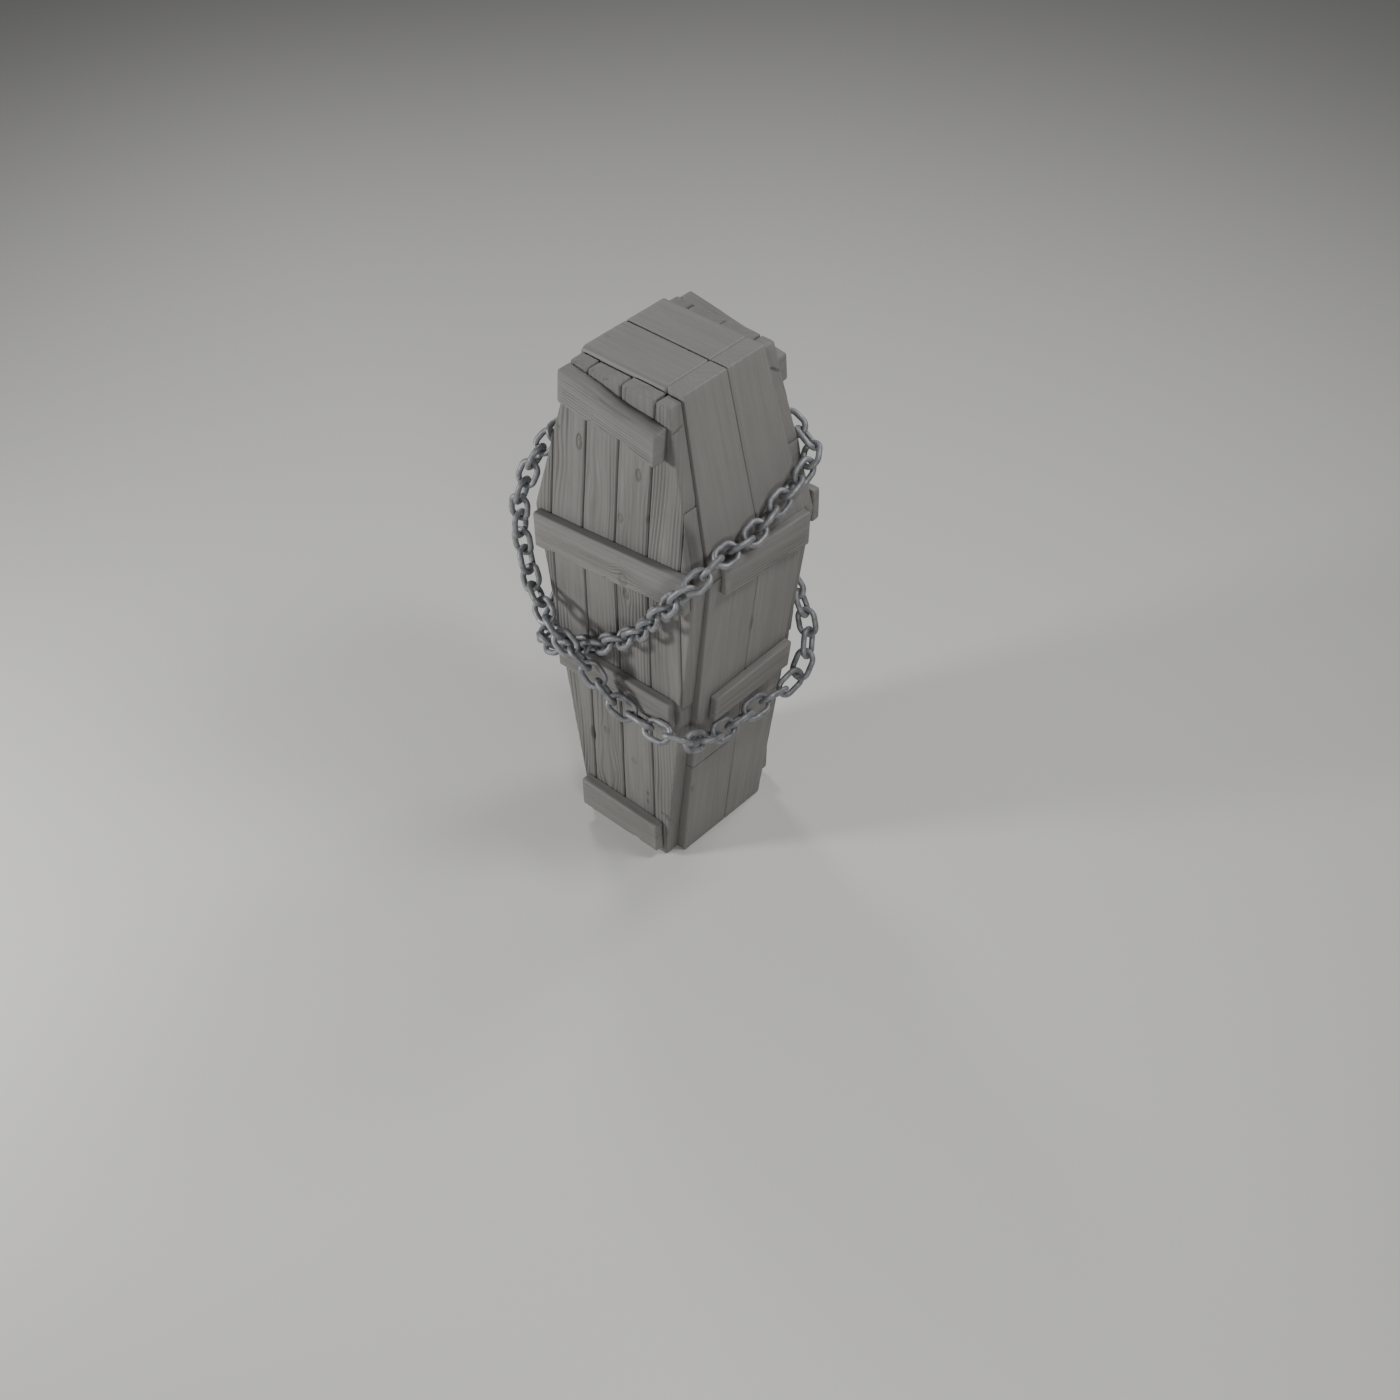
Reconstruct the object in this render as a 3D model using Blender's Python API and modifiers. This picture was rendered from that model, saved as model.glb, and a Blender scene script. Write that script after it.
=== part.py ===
import math

import bmesh
import bpy
from mathutils import Matrix, Vector

# The coffin stands on its foot. x is its width, the lid faces -y, and z is up.

# The box, which is widest and deepest at the shoulder
height = 2.000
shoulder_height = 1.358
foot_width = 0.456
shoulder_width = 0.764
head_width = 0.444
foot_depth = 0.427
shoulder_depth = 0.496
head_depth = 0.396
side_wall = 0.074
end_wall = 0.060
patch_height = 0.455
side_seam = 0.012
foot_seam = 0.062

# The lid and the back panel, six planks each
panel_thickness = 0.062
panel_foot_inset = 0.036
panel_shoulder_inset = 0.016
panel_head_inset = 0.013
panel_top_drop = 0.016
plank_width = 0.146
seam_lean = 0.010
wedge_tip = 0.004
plank_steps = (0.001, 0.004, 0.000, 0.003)

# The battens nailed over the planks
head_batten_thickness = 0.058
batten_thickness = 0.036
foot_batten_thickness = 0.041
side_batten_thickness = 0.033
bed_depth = 0.012
cutter_overrun = 0.050

# Worn edges
board_edge = 0.005
plank_edge = 0.006
panel_rim_edge = 0.018
rim_segments = 3
batten_edge = 0.009
worn_angle = math.radians(40)

# Spaces between pieces
touching_gap = 0.0003
seam_gap = 0.002
board_seam_gap = 0.0015

# The chains
wire_diameter = 0.021
wire_squareness = 0.9
link_width = 0.086
link_pitch = 0.072
link_bite = 0.0012
link_roll = math.radians(45)
route_steps = 24

# Battens on the lid and the back: how far the left and right ends stop short of the
# panel's edges, the thickness, the level the heights are from, and the heights of the
# corners (top left, top right, bottom left, bottom right) as seen from the front
lid_battens = {
    "head": (0.0155, 0.0342, head_batten_thickness, height, (-0.026, -0.090, -0.150, -0.216)),
    "shoulder": (0.0139, 0.0154, batten_thickness, shoulder_height, (-0.001, 0.050, -0.153, -0.103)),
    "middle": (0.0216, 0.0245, batten_thickness, 0.0, (0.822, 0.812, 0.702, 0.694)),
    "foot": (0.0186, 0.0233, foot_batten_thickness, 0.0, (0.187, 0.170, 0.056, 0.038)),
}
back_battens = {
    "head": (0.0228, 0.0314, head_batten_thickness, height, (-0.020, -0.092, -0.142, -0.206)),
    "shoulder": (0.0071, 0.0036, batten_thickness, shoulder_height, (0.044, 0.066, -0.090, -0.072)),
    "middle": (0.0234, 0.0316, batten_thickness, 0.0, (0.790, 0.806, 0.668, 0.686)),
    "foot": (0.0219, 0.0223, foot_batten_thickness, 0.0, (0.152, 0.136, 0.034, 0.024)),
}

# Battens on the sides: how far the front and back ends stop short of the board's edges,
# the level the heights are from, and the heights (top front, top back, bottom front,
# bottom back)
side_battens = {
    "shoulder": (0.0496, 0.0058, shoulder_height, (0.061, 0.039, -0.072, -0.106)),
    "middle": (0.0550, 0.0020, 0.0, (0.790, 0.804, 0.672, 0.680)),
}

# Broken places: the height or the share along a batten, then the size and the turn in
# degrees of the tilted block that breaks it
shoulder_break = (shoulder_height + 0.112, (0.050, 0.034, 0.150), (8, 0, 42))
corner_break = (0.0, (0.070, 0.200, 0.026), (0, 24, 0))
foot_nick = (0.70, (0.030, 0.040, 0.016), (0, 40, 0))
side_break = (0.66, (0.160, 0.130, 0.024), (-8, 0, 0))
seam_split = (0.412, (0.016, 0.030, 0.016), (0, 45, 0))

# Chain routes: the face, how far across it (1 is its edge), the height, the
# distance off the planks, and the pitch of the links there as a share
upper_chain_route = (
    ("front", 1.11, 1.413, 0.060, 1.0),
    ("front", 0.880, 1.322, 0.084, 1.0),
    ("front", 0.690, 1.215, 0.072, 0.95),
    ("front", 0.500, 1.113, 0.045, 0.90),
    ("front", 0.247, 1.025, 0.042, 0.88),
    ("front", -0.010, 0.957, 0.042, 0.86),
    ("front", -0.250, 0.908, 0.046, 0.86),
    ("front", -0.590, 0.862, 0.066, 0.86),
    ("front", -0.950, 0.820, 0.068, 0.90),
    ("left", -1.230, 0.800, 0.045, 0.95),
    ("left", -0.800, 0.900, 0.045, 1.0),
    ("left", -0.100, 1.080, 0.050, 1.0),
    ("left", 0.600, 1.232, 0.070, 1.0),
    ("left", 1.180, 1.372, 0.086, 1.0),
    ("back", -0.840, 1.490, 0.048, 1.0),
    ("back", -0.480, 1.592, 0.042, 1.0),
    ("back", 0.000, 1.660, 0.040, 1.0),
    ("back", 0.520, 1.668, 0.040, 1.0),
    ("back", 0.900, 1.622, 0.042, 1.0),
    ("right", 1.290, 1.585, 0.038, 1.0),
    ("right", 0.800, 1.536, 0.044, 1.0),
    ("right", 0.200, 1.494, 0.044, 1.0),
    ("right", -0.300, 1.458, 0.044, 1.0),
    ("right", -0.850, 1.458, 0.042, 1.0),
)
lower_chain_route = (
    ("left", -0.880, 1.585, 0.044, 1.0),
    ("left", -1.010, 1.545, 0.056, 1.0),
    ("left", -1.120, 1.455, 0.064, 1.0),
    ("left", -1.210, 1.340, 0.066, 1.0),
    ("left", -1.225, 1.231, 0.086, 1.0),
    ("left", -1.240, 1.134, 0.086, 1.0),
    ("left", -1.300, 1.065, 0.066, 1.0),
    ("front", -1.080, 1.035, 0.050, 1.0),
    ("front", -0.800, 1.000, 0.098, 1.0),
    ("front", -0.420, 0.952, 0.134, 1.0),
    ("front", -0.160, 0.878, 0.114, 1.05),
    ("front", 0.110, 0.766, 0.094, 1.10),
    ("front", 0.380, 0.713, 0.072, 1.20),
    ("front", 0.850, 0.712, 0.078, 1.15),
    ("front", 1.250, 0.700, 0.040, 1.05),
    ("right", -0.800, 0.634, 0.052, 1.20),
    ("right", -0.040, 0.611, 0.050, 1.30),
    ("right", 0.330, 0.616, 0.052, 1.30),
    ("right", 1.000, 0.606, 0.060, 1.25),
    ("right", 1.280, 0.708, 0.060, 1.15),
    ("back", 1.130, 0.800, 0.044, 1.05),
    ("back", 0.930, 0.905, 0.044, 1.0),
    ("back", 0.560, 1.000, 0.044, 1.0),
    ("back", 0.200, 1.110, 0.044, 1.0),
    ("back", -0.100, 1.240, 0.074, 1.0),
    ("back", -0.420, 1.390, 0.086, 1.0),
    ("back", -0.740, 1.518, 0.128, 1.0),
    ("back", -1.060, 1.575, 0.088, 1.0),
    ("left", 0.950, 1.595, 0.046, 1.0),
    ("left", 0.050, 1.605, 0.042, 1.0),
)


def between(low, high, share):
    return low + (high - low) * share


def along_height(z, at_foot, at_shoulder, at_head):
    if z <= shoulder_height:
        return between(at_foot, at_shoulder, z / shoulder_height)
    return between(at_shoulder, at_head, (z - shoulder_height) / (height - shoulder_height))


def half_width(z):
    return along_height(z, foot_width, shoulder_width, head_width) / 2


def half_depth(z):
    return along_height(z, foot_depth, shoulder_depth, head_depth) / 2


def panel_half_width(z):
    return half_width(z) - along_height(z, panel_foot_inset, panel_shoulder_inset, panel_head_inset)


def panel_face(z):
    return half_depth(z) + touching_gap + panel_thickness


def clear_scene():
    for thing in list(bpy.data.objects):
        bpy.data.objects.remove(thing)


def new_collection(name):
    group = bpy.data.collections.new(name)
    bpy.context.scene.collection.children.link(group)
    return group


def new_material(name, color, roughness, metallic):
    material = bpy.data.materials.new(name)
    material.use_nodes = True
    shader = material.node_tree.nodes["Principled BSDF"]
    shader.inputs["Base Color"].default_value = (*color, 1.0)
    shader.inputs["Roughness"].default_value = roughness
    shader.inputs["Metallic"].default_value = metallic
    return material


def block_shape(rows, corner):
    # A cube cut across at each inner row, with its corners moved to their places
    shape = bmesh.new()
    bmesh.ops.create_cube(shape, size=1.0)
    steps = len(rows) - 1
    for step in range(1, steps):
        everything = shape.verts[:] + shape.edges[:] + shape.faces[:]
        cut_place = (0, 0, step / steps - 0.5)
        bmesh.ops.bisect_plane(shape, geom=everything, plane_co=cut_place, plane_no=(0, 0, 1))
    for vert in shape.verts:
        row = round((vert.co.z + 0.5) * steps)
        vert.co = corner(vert.co.x > 0, vert.co.y > 0, rows[row])
    return shape


def place_shape(name, shape, group, material=None):
    mesh = bpy.data.meshes.new(name)
    shape.to_mesh(mesh)
    shape.free()
    if material:
        mesh.materials.append(material)
    thing = bpy.data.objects.new(name, mesh)
    group.objects.link(thing)
    return thing


def wear_block(shape, width):
    sharp = [edge for edge in shape.edges if edge.calc_face_angle() > worn_angle]
    bmesh.ops.bevel(shape, geom=sharp, offset=width, segments=1, affect="EDGES", loop_slide=True)


def wear_edges(thing, width, segments=1):
    bevel = thing.modifiers.new("worn edges", "BEVEL")
    bevel.width = width
    bevel.segments = segments
    bevel.limit_method = "ANGLE"
    bevel.angle_limit = worn_angle


def cut_with(thing, cutter):
    cut = thing.modifiers.new("cut", "BOOLEAN")
    cut.operation = "DIFFERENCE"
    cut.solver = "EXACT"
    cut.object = cutter


def make_cutter(name, shape, cutters):
    cutter = place_shape(name, shape, cutters)
    cutter.hide_render = True
    cutter.display_type = "WIRE"
    return cutter


def chip_cutter(name, place, size, turn, cutters):
    # A tilted block that bites a flat facet out of an edge
    shape = bmesh.new()
    bmesh.ops.create_cube(shape, size=1.0)
    for vert in shape.verts:
        vert.co = Vector(vert.co[axis] * size[axis] for axis in range(3))
    cutter = make_cutter(name, shape, cutters)
    cutter.location = place
    cutter.rotation_euler = [math.radians(angle) for angle in turn]
    return cutter


def add_board(name, rows, inner, outer, front, back, group, material):
    # inner and outer are x at a height, front and back are y at a height
    def corner(right, rear, z):
        low_x, high_x = sorted((inner(z), outer(z)))
        return Vector((high_x if right else low_x, back(z) if rear else front(z), z))

    board = place_shape(name, block_shape(rows, corner), group, material)
    wear_edges(board, board_edge)
    return board


def add_side_boards(side_name, side, group, material):
    # Each side has two boards above the shoulder and two below it
    def outer(z):
        return side * half_width(z)

    def inner(z):
        return side * (half_width(z) - side_wall)

    def front_edge(z):
        return -half_depth(z)

    def back_edge(z):
        return half_depth(z)

    def front_seam(z):
        return side_seam - board_seam_gap / 2

    def back_seam(z):
        return side_seam + board_seam_gap / 2

    # The head boards run over the left side boards and stop at the right ones
    top = height if side > 0 else height - end_wall - board_seam_gap
    upper = (shoulder_height + board_seam_gap / 2, top)
    lower = (0.0, shoulder_height - board_seam_gap / 2)
    add_board(f"{side_name}_upper_front_board", upper, inner, outer, front_edge, front_seam, group, material)
    add_board(f"{side_name}_upper_back_board", upper, inner, outer, back_seam, back_edge, group, material)
    add_board(f"{side_name}_lower_back_board", lower, inner, outer, back_seam, back_edge, group, material)
    if side < 0:
        add_board(f"{side_name}_lower_front_board", lower, inner, outer, front_edge, front_seam, group, material)
        return
    # The front board on this side is pieced out near the foot
    patch = (0.0, patch_height - board_seam_gap / 2)
    above_patch = (patch_height + board_seam_gap / 2, shoulder_height - board_seam_gap / 2)
    add_board(f"{side_name}_foot_patch_board", patch, inner, outer, front_edge, front_seam, group, material)
    add_board(f"{side_name}_lower_front_board", above_patch, inner, outer, front_edge, front_seam, group, material)


def add_end_boards(group, material):
    def left_edge(z):
        return -half_width(z)

    def inside_left(z):
        return -(half_width(z) - side_wall - board_seam_gap)

    def inside_right(z):
        return half_width(z) - side_wall - board_seam_gap

    def front_edge(z):
        return -half_depth(z)

    def back_edge(z):
        return half_depth(z)

    head_rows = (height - end_wall, height)
    foot_rows = (0.0, end_wall)
    gap = board_seam_gap / 2
    add_board("head_front_board", head_rows, left_edge, inside_right,
              front_edge, lambda z: side_seam - gap, group, material)
    add_board("head_back_board", head_rows, left_edge, inside_right,
              lambda z: side_seam + gap, back_edge, group, material)
    add_board("foot_front_board", foot_rows, inside_left, inside_right,
              front_edge, lambda z: foot_seam - gap, group, material)
    add_board("foot_back_board", foot_rows, inside_left, inside_right,
              lambda z: foot_seam + gap, back_edge, group, material)


def seam_x(number, z):
    return number * plank_width + seam_lean * (z - height / 2)


def height_where(width, low, high):
    # The height between low and high at which a width that changes evenly is zero
    at_low = width(low)
    return between(low, high, at_low / (at_low - width(high)))


def plank_edges(number):
    # Planks are numbered from -3 at the left to 2 at the right, and the end ones reach
    # past the rim, where they are trimmed
    def left(z):
        if number == -3:
            return -panel_half_width(z) - cutter_overrun
        return seam_x(number, z) + seam_gap / 2

    def right(z):
        if number == 2:
            return panel_half_width(z) + cutter_overrun
        return seam_x(number + 1, z) - seam_gap / 2

    return left, right


def plank_rows(number):
    if number not in (-3, 2):
        return 0.0, shoulder_height, height - panel_top_drop - plank_steps[number + 2]
    side = math.copysign(1, number)
    inner_seam = -2 if number == -3 else 2

    def room_past_tip(z):
        return panel_half_width(z) - side * seam_x(inner_seam, z) - seam_gap / 2 - wedge_tip

    low_tip = height_where(room_past_tip, 0.0, shoulder_height)
    high_tip = height_where(room_past_tip, shoulder_height, height)
    return low_tip, shoulder_height, high_tip


def shave(shape, place, outward):
    # Takes off what is outside a plane and closes the cut
    everything = shape.verts[:] + shape.edges[:] + shape.faces[:]
    cut = bmesh.ops.bisect_plane(shape, geom=everything, plane_co=place, plane_no=outward, clear_outer=True)
    edges = [thing for thing in cut["geom_cut"] if isinstance(thing, bmesh.types.BMEdge)]
    if edges:
        bmesh.ops.edgeloop_fill(shape, edges=edges)


def round_rim(shape, side, facing):
    # The panel's long outer edges are worn round, a flat facet at a time
    def rim_place(z, step):
        turn = math.pi / 2 * max(step, 0) / rim_segments
        x = panel_half_width(z) - panel_rim_edge * (1 - math.cos(turn))
        y = panel_face(z) - panel_rim_edge * (1 - math.sin(turn))
        # The step before the rounding is the panel's flat side
        if step < 0:
            y -= panel_rim_edge
        return Vector((side * x, facing * y, z))

    for low, high in ((0.0, shoulder_height), (shoulder_height, height)):
        for step in range(-1, rim_segments):
            start = rim_place(low, step)
            outward = (rim_place(low, step + 1) - start).cross(rim_place(high, step) - start)
            if outward.x * side < 0:
                outward.negate()
            shave(shape, start, outward.normalized())


def add_panel(panel_name, facing, group, material):
    # facing is -1 for the lid and 1 for the back panel
    planks = []
    for number in range(-3, 3):
        left, right = plank_edges(number)

        def corner(to_right, rear, z):
            x = right(z) if to_right else left(z)
            near = half_depth(z) + touching_gap
            far = panel_face(z)
            if facing < 0:
                return Vector((x, -near if rear else -far, z))
            return Vector((x, far if rear else near, z))

        shape = block_shape(plank_rows(number), corner)
        wear_block(shape, plank_edge)
        if number not in (-1, 0):
            round_rim(shape, math.copysign(1, number), facing)
        planks.append(place_shape(f"{panel_name}_plank_{number + 4}", shape, group, material))
    return planks


def make_beds(cutters):
    # The faces that the battens are fitted to, as solids that trim their backs
    rows = (-cutter_overrun, shoulder_height, height + cutter_overrun)
    reach = 2 * shoulder_width

    def panel_corner(right, rear, z):
        y = panel_face(z) + touching_gap
        return Vector((reach if right else -reach, y if rear else -y, z))

    def side_corner(right, rear, z):
        x = half_width(z) + touching_gap
        return Vector((x if right else -x, reach if rear else -reach, z))

    panel_bed = make_cutter("panel_bed", block_shape(rows, panel_corner), cutters)
    side_bed = make_cutter("side_bed", block_shape(rows, side_corner), cutters)
    return panel_bed, side_bed


def panel_batten_corners(sizes):
    # x and the top and bottom heights of each end
    left_inset, right_inset, _, level, heights = sizes
    top_left, top_right, bottom_left, bottom_right = (level + z for z in heights)
    left = left_inset - panel_half_width((top_left + bottom_left) / 2)
    right = panel_half_width((top_right + bottom_right) / 2) - right_inset
    return (left, top_left, bottom_left), (right, top_right, bottom_right)


def side_batten_corners(sizes):
    # y and the top and bottom heights of each end
    front_inset, back_inset, level, heights = sizes
    top_front, top_back, bottom_front, bottom_back = (level + z for z in heights)
    front = front_inset - half_depth((top_front + bottom_front) / 2)
    back = half_depth((top_back + bottom_back) / 2) - back_inset
    return (front, top_front, bottom_front), (back, top_back, bottom_back)


def add_panel_batten(name, facing, sizes, bed, group, material):
    ends = panel_batten_corners(sizes)
    thickness = sizes[2]

    def corner(to_right, rear, row):
        x, top, bottom = ends[to_right]
        z = top if row else bottom
        outer = panel_face(z) + touching_gap + thickness
        inner = panel_face(z) - bed_depth
        if facing < 0:
            y = -inner if rear else -outer
        else:
            y = outer if rear else inner
        return Vector((x, y, z))

    batten = place_shape(name, block_shape((0, 1), corner), group, material)
    wear_edges(batten, batten_edge, 2)
    cut_with(batten, bed)
    return batten


def add_side_batten(name, side, sizes, bed, group, material):
    ends = side_batten_corners(sizes)

    def corner(to_right, rear, row):
        y, top, bottom = ends[rear]
        z = top if row else bottom
        outer = half_width(z) + touching_gap + side_batten_thickness
        inner = half_width(z) - bed_depth
        if side > 0:
            x = outer if to_right else inner
        else:
            x = -inner if to_right else -outer
        return Vector((x, y, z))

    batten = place_shape(name, block_shape((0, 1), corner), group, material)
    wear_edges(batten, batten_edge, 2)
    cut_with(batten, bed)
    return batten


def route_place(face, across, z, off):
    if face == "front":
        return Vector((across * panel_half_width(z), -(panel_face(z) + off), z))
    if face == "back":
        return Vector((across * panel_half_width(z), panel_face(z) + off, z))
    side = 1 if face == "right" else -1
    return Vector((side * (half_width(z) + off), across * half_depth(z), z))


def smooth_loop(route):
    # A closed curve through the route's points, with the pitch share along it
    places = [(route_place(*point[:4]), point[4]) for point in route]
    count = len(places)
    loop = []
    for index in range(count):
        (a, _), (b, share_b), (c, share_c), (d, _) = (places[(index + k - 1) % count] for k in range(4))
        for step in range(route_steps):
            t = step / route_steps
            place = 0.5 * (2 * b + (c - a) * t + (2 * a - 5 * b + 4 * c - d) * t * t
                           + (3 * b - a - 3 * c + d) * t * t * t)
            loop.append((place, between(share_b, share_c, t)))
    return loop


def link_joints(route):
    # Even steps along the loop, where one link meets the next, and an even number of them
    loop = smooth_loop(route)
    count = len(loop)
    travelled = [0.0]
    for index in range(count):
        place, share = loop[index]
        following = loop[(index + 1) % count][0]
        travelled.append(travelled[-1] + (following - place).length / (link_pitch * share))
    links = 2 * round(travelled[-1] / 2)
    joints = []
    index = 0
    for link in range(links):
        goal = travelled[-1] * link / links
        while travelled[index + 1] < goal:
            index += 1
        share = (goal - travelled[index]) / (travelled[index + 1] - travelled[index])
        start = loop[index][0]
        end = loop[(index + 1) % count][0]
        joints.append(start.lerp(end, share))
    return joints


def link_frame(start, end, roll):
    # x runs along the link, y across its hole
    middle = (start + end) / 2
    along = (end - start).normalized()
    outward = Vector((middle.x / half_width(middle.z) ** 2, middle.y / half_depth(middle.z) ** 2, 0))
    across = along.cross(outward).normalized()
    normal = across.cross(along)
    wide = across * math.cos(roll) + normal * math.sin(roll)
    thick = along.cross(wide)
    return Matrix((along, wide, thick)).transposed(), middle


def add_link(shape, start, end, roll):
    # One link: a square wire swept round a six-sided oval
    turn, middle = link_frame(start, end, roll)
    wire = wire_diameter / 2
    rod = wire * wire_squareness
    bend = link_width / 2 - wire
    corner = math.pi / 3
    stretch = 1 / math.cos(corner / 2)
    reach = (end - start).length / 2 + rod - link_bite / 2
    tip = min(bend * stretch, reach)
    oval = []
    for step in range(6):
        way = Vector((math.cos(step * corner), math.sin(step * corner), 0))
        centre = Vector((math.copysign(reach - tip, way.x), 0, 0))
        oval.append((centre + Vector((way.x * tip, way.y * bend * stretch, 0)), way))
    rings = []
    for place, way in oval:
        ring = []
        for side_way, up in ((1, 1), (-1, 1), (-1, -1), (1, -1)):
            offset = way * side_way * rod + Vector((0, 0, up * rod))
            ring.append(shape.verts.new(turn @ (place + offset) + middle))
        rings.append(ring)
    for index, ring in enumerate(rings):
        following = rings[(index + 1) % len(rings)]
        for k in range(4):
            nxt = (k + 1) % 4
            shape.faces.new((ring[k], following[k], following[nxt], ring[nxt]))


def add_chain(name, route, group, cutters, material):
    # Every second link turns its hole by a quarter, and the links are joined where they bite
    joints = link_joints(route)
    halves = (bmesh.new(), bmesh.new())
    for index, start in enumerate(joints):
        end = joints[(index + 1) % len(joints)]
        roll = link_roll + (math.pi / 2 if index % 2 else 0.0)
        add_link(halves[index % 2], start, end, roll)
    for half in halves:
        bmesh.ops.recalc_face_normals(half, faces=half.faces[:])
    chain = place_shape(name, halves[0], group, material)
    other = make_cutter(f"{name}_other_links", halves[1], cutters)
    join = chain.modifiers.new("links bite", "BOOLEAN")
    join.operation = "UNION"
    join.solver = "EXACT"
    join.object = other
    return chain


def cut_chips(pieces, cutters):
    # Broken corners and splits, each placed on the edge that it breaks
    def chip(piece, place, broken):
        _, size, turn = broken
        cut_with(pieces[piece], chip_cutter(f"{piece}_break", place, size, turn, cutters))

    z = shoulder_break[0]
    chip("lid_plank_6", (panel_half_width(z), -panel_face(z), z), shoulder_break)
    (x, _, z), _ = panel_batten_corners(lid_battens["shoulder"])
    chip("lid_shoulder_batten", (x, -panel_face(z) - batten_thickness, z), corner_break)
    (left, _, low_left), (right, _, low_right) = panel_batten_corners(lid_battens["foot"])
    z = between(low_left, low_right, foot_nick[0])
    x = between(left, right, foot_nick[0])
    chip("lid_foot_batten", (x, -panel_face(z) - foot_batten_thickness, z), foot_nick)
    (front, _, low_front), (back, _, low_back) = side_batten_corners(side_battens["shoulder"])
    z = between(low_front, low_back, side_break[0])
    y = between(front, back, side_break[0])
    chip("right_shoulder_batten", (half_width(z) + side_batten_thickness, y, z), side_break)
    z = seam_split[0]
    for piece in ("lid_plank_2", "lid_plank_3"):
        chip(piece, (seam_x(-1, z), -panel_face(z), z), seam_split)


def build_coffin():
    clear_scene()
    coffin = new_collection("wooden_coffin")
    cutters = new_collection("cutters")
    old_timber = new_material("weathered grey timber", (0.33, 0.32, 0.31), 0.62, 0.0)
    planed_timber = new_material("planed grey boards", (0.36, 0.35, 0.34), 0.52, 0.0)
    iron = new_material("grey wrought iron", (0.30, 0.30, 0.31), 0.42, 1.0)

    add_side_boards("right", 1, coffin, planed_timber)
    add_side_boards("left", -1, coffin, planed_timber)
    add_end_boards(coffin, planed_timber)
    pieces = {}
    for panel_name, facing in (("lid", -1), ("back", 1)):
        for plank in add_panel(panel_name, facing, coffin, old_timber):
            pieces[plank.name] = plank
    panel_bed, side_bed = make_beds(cutters)
    for panel_name, facing, battens in (("lid", -1, lid_battens), ("back", 1, back_battens)):
        for place, sizes in battens.items():
            name = f"{panel_name}_{place}_batten"
            pieces[name] = add_panel_batten(name, facing, sizes, panel_bed, coffin, old_timber)
    for side_name, side in (("right", 1), ("left", -1)):
        for place, sizes in side_battens.items():
            name = f"{side_name}_{place}_batten"
            pieces[name] = add_side_batten(name, side, sizes, side_bed, coffin, old_timber)
    cut_chips(pieces, cutters)
    add_chain("upper_chain", upper_chain_route, coffin, cutters, iron)
    add_chain("lower_chain", lower_chain_route, coffin, cutters, iron)


build_coffin()
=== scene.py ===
import math
from itertools import count

import bmesh
import bpy
import numpy as np
from mathutils import Matrix, Vector


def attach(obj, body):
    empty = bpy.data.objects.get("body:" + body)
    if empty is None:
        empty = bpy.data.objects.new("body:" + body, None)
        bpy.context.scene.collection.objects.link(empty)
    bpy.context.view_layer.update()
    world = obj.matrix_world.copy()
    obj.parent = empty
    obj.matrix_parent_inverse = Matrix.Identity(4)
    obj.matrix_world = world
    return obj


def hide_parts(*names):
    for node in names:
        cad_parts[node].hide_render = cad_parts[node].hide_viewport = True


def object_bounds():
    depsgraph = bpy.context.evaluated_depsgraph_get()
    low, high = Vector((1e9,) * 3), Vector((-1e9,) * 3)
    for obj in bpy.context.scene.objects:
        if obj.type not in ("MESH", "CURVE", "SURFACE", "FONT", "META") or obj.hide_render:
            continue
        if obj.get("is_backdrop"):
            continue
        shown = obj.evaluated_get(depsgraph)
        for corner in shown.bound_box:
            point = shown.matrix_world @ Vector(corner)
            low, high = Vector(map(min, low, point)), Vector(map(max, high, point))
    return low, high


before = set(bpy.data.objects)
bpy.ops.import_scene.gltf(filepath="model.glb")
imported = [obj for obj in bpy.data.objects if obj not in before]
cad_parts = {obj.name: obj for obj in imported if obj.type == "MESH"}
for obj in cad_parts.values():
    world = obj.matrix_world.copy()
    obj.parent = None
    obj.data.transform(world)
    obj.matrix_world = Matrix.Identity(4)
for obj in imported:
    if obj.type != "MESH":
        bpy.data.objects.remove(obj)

# An old coffin of grey weathered planks, standing on its foot and wrapped in two iron chains.
# Metres throughout. x is its width, the lid faces -y, and z is up.
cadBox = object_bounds()

coffin = {
    "height": 2.000,
    "shoulder": 1.358,
    "width": (0.456, 0.764, 0.444),  # at the foot, the shoulder and the head
    "depth": (0.427, 0.496, 0.396),
    "sideWall": 0.074,
    "endWall": 0.060,
    "patchHeight": 0.455,
    "sideSeam": 0.012,  # how far behind the middle the side and head boards meet
    "footSeam": 0.062,
    "headGap": 0.0022,  # open joint between the head and the sides
    "touch": 0.0003,
    "boardGap": 0.0015,
}
# The lid and the back are alike: six planks in line with the height, the outer two wedges
panel = {
    "thickness": 0.062,
    "inset": (0.036, 0.016, 0.013),  # from the box's edge, at the same three heights
    "topDrop": 0.016,
    "topSteps": (0.001, 0.004, 0.000, 0.003),
    "plankWidth": 0.146,
    "seamGap": 0.002,
    "seamLean": 0.010,  # sideways, over the whole height
    "wedgeTip": 0.0016,
}


def atHeight(z, values):
    return np.interp(z, (0.0, coffin["shoulder"], coffin["height"]), values)


def halfWidth(z):
    return atHeight(z, coffin["width"]) / 2


def halfDepth(z):
    return atHeight(z, coffin["depth"]) / 2


def panelHalfWidth(z):
    return halfWidth(z) - atHeight(z, panel["inset"])


def panelFace(z):
    return halfDepth(z) + coffin["touch"] + panel["thickness"]


def seamX(number, z):
    return number * panel["plankWidth"] + panel["seamLean"] * (z - coffin["height"] / 2)


def eased(low, high, share):
    # From low to high as share goes from 0 to 1, level at both ends
    share = np.clip(share, 0, 1)
    return low + (high - low) * share * share * (3 - 2 * share)


# Materials

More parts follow.
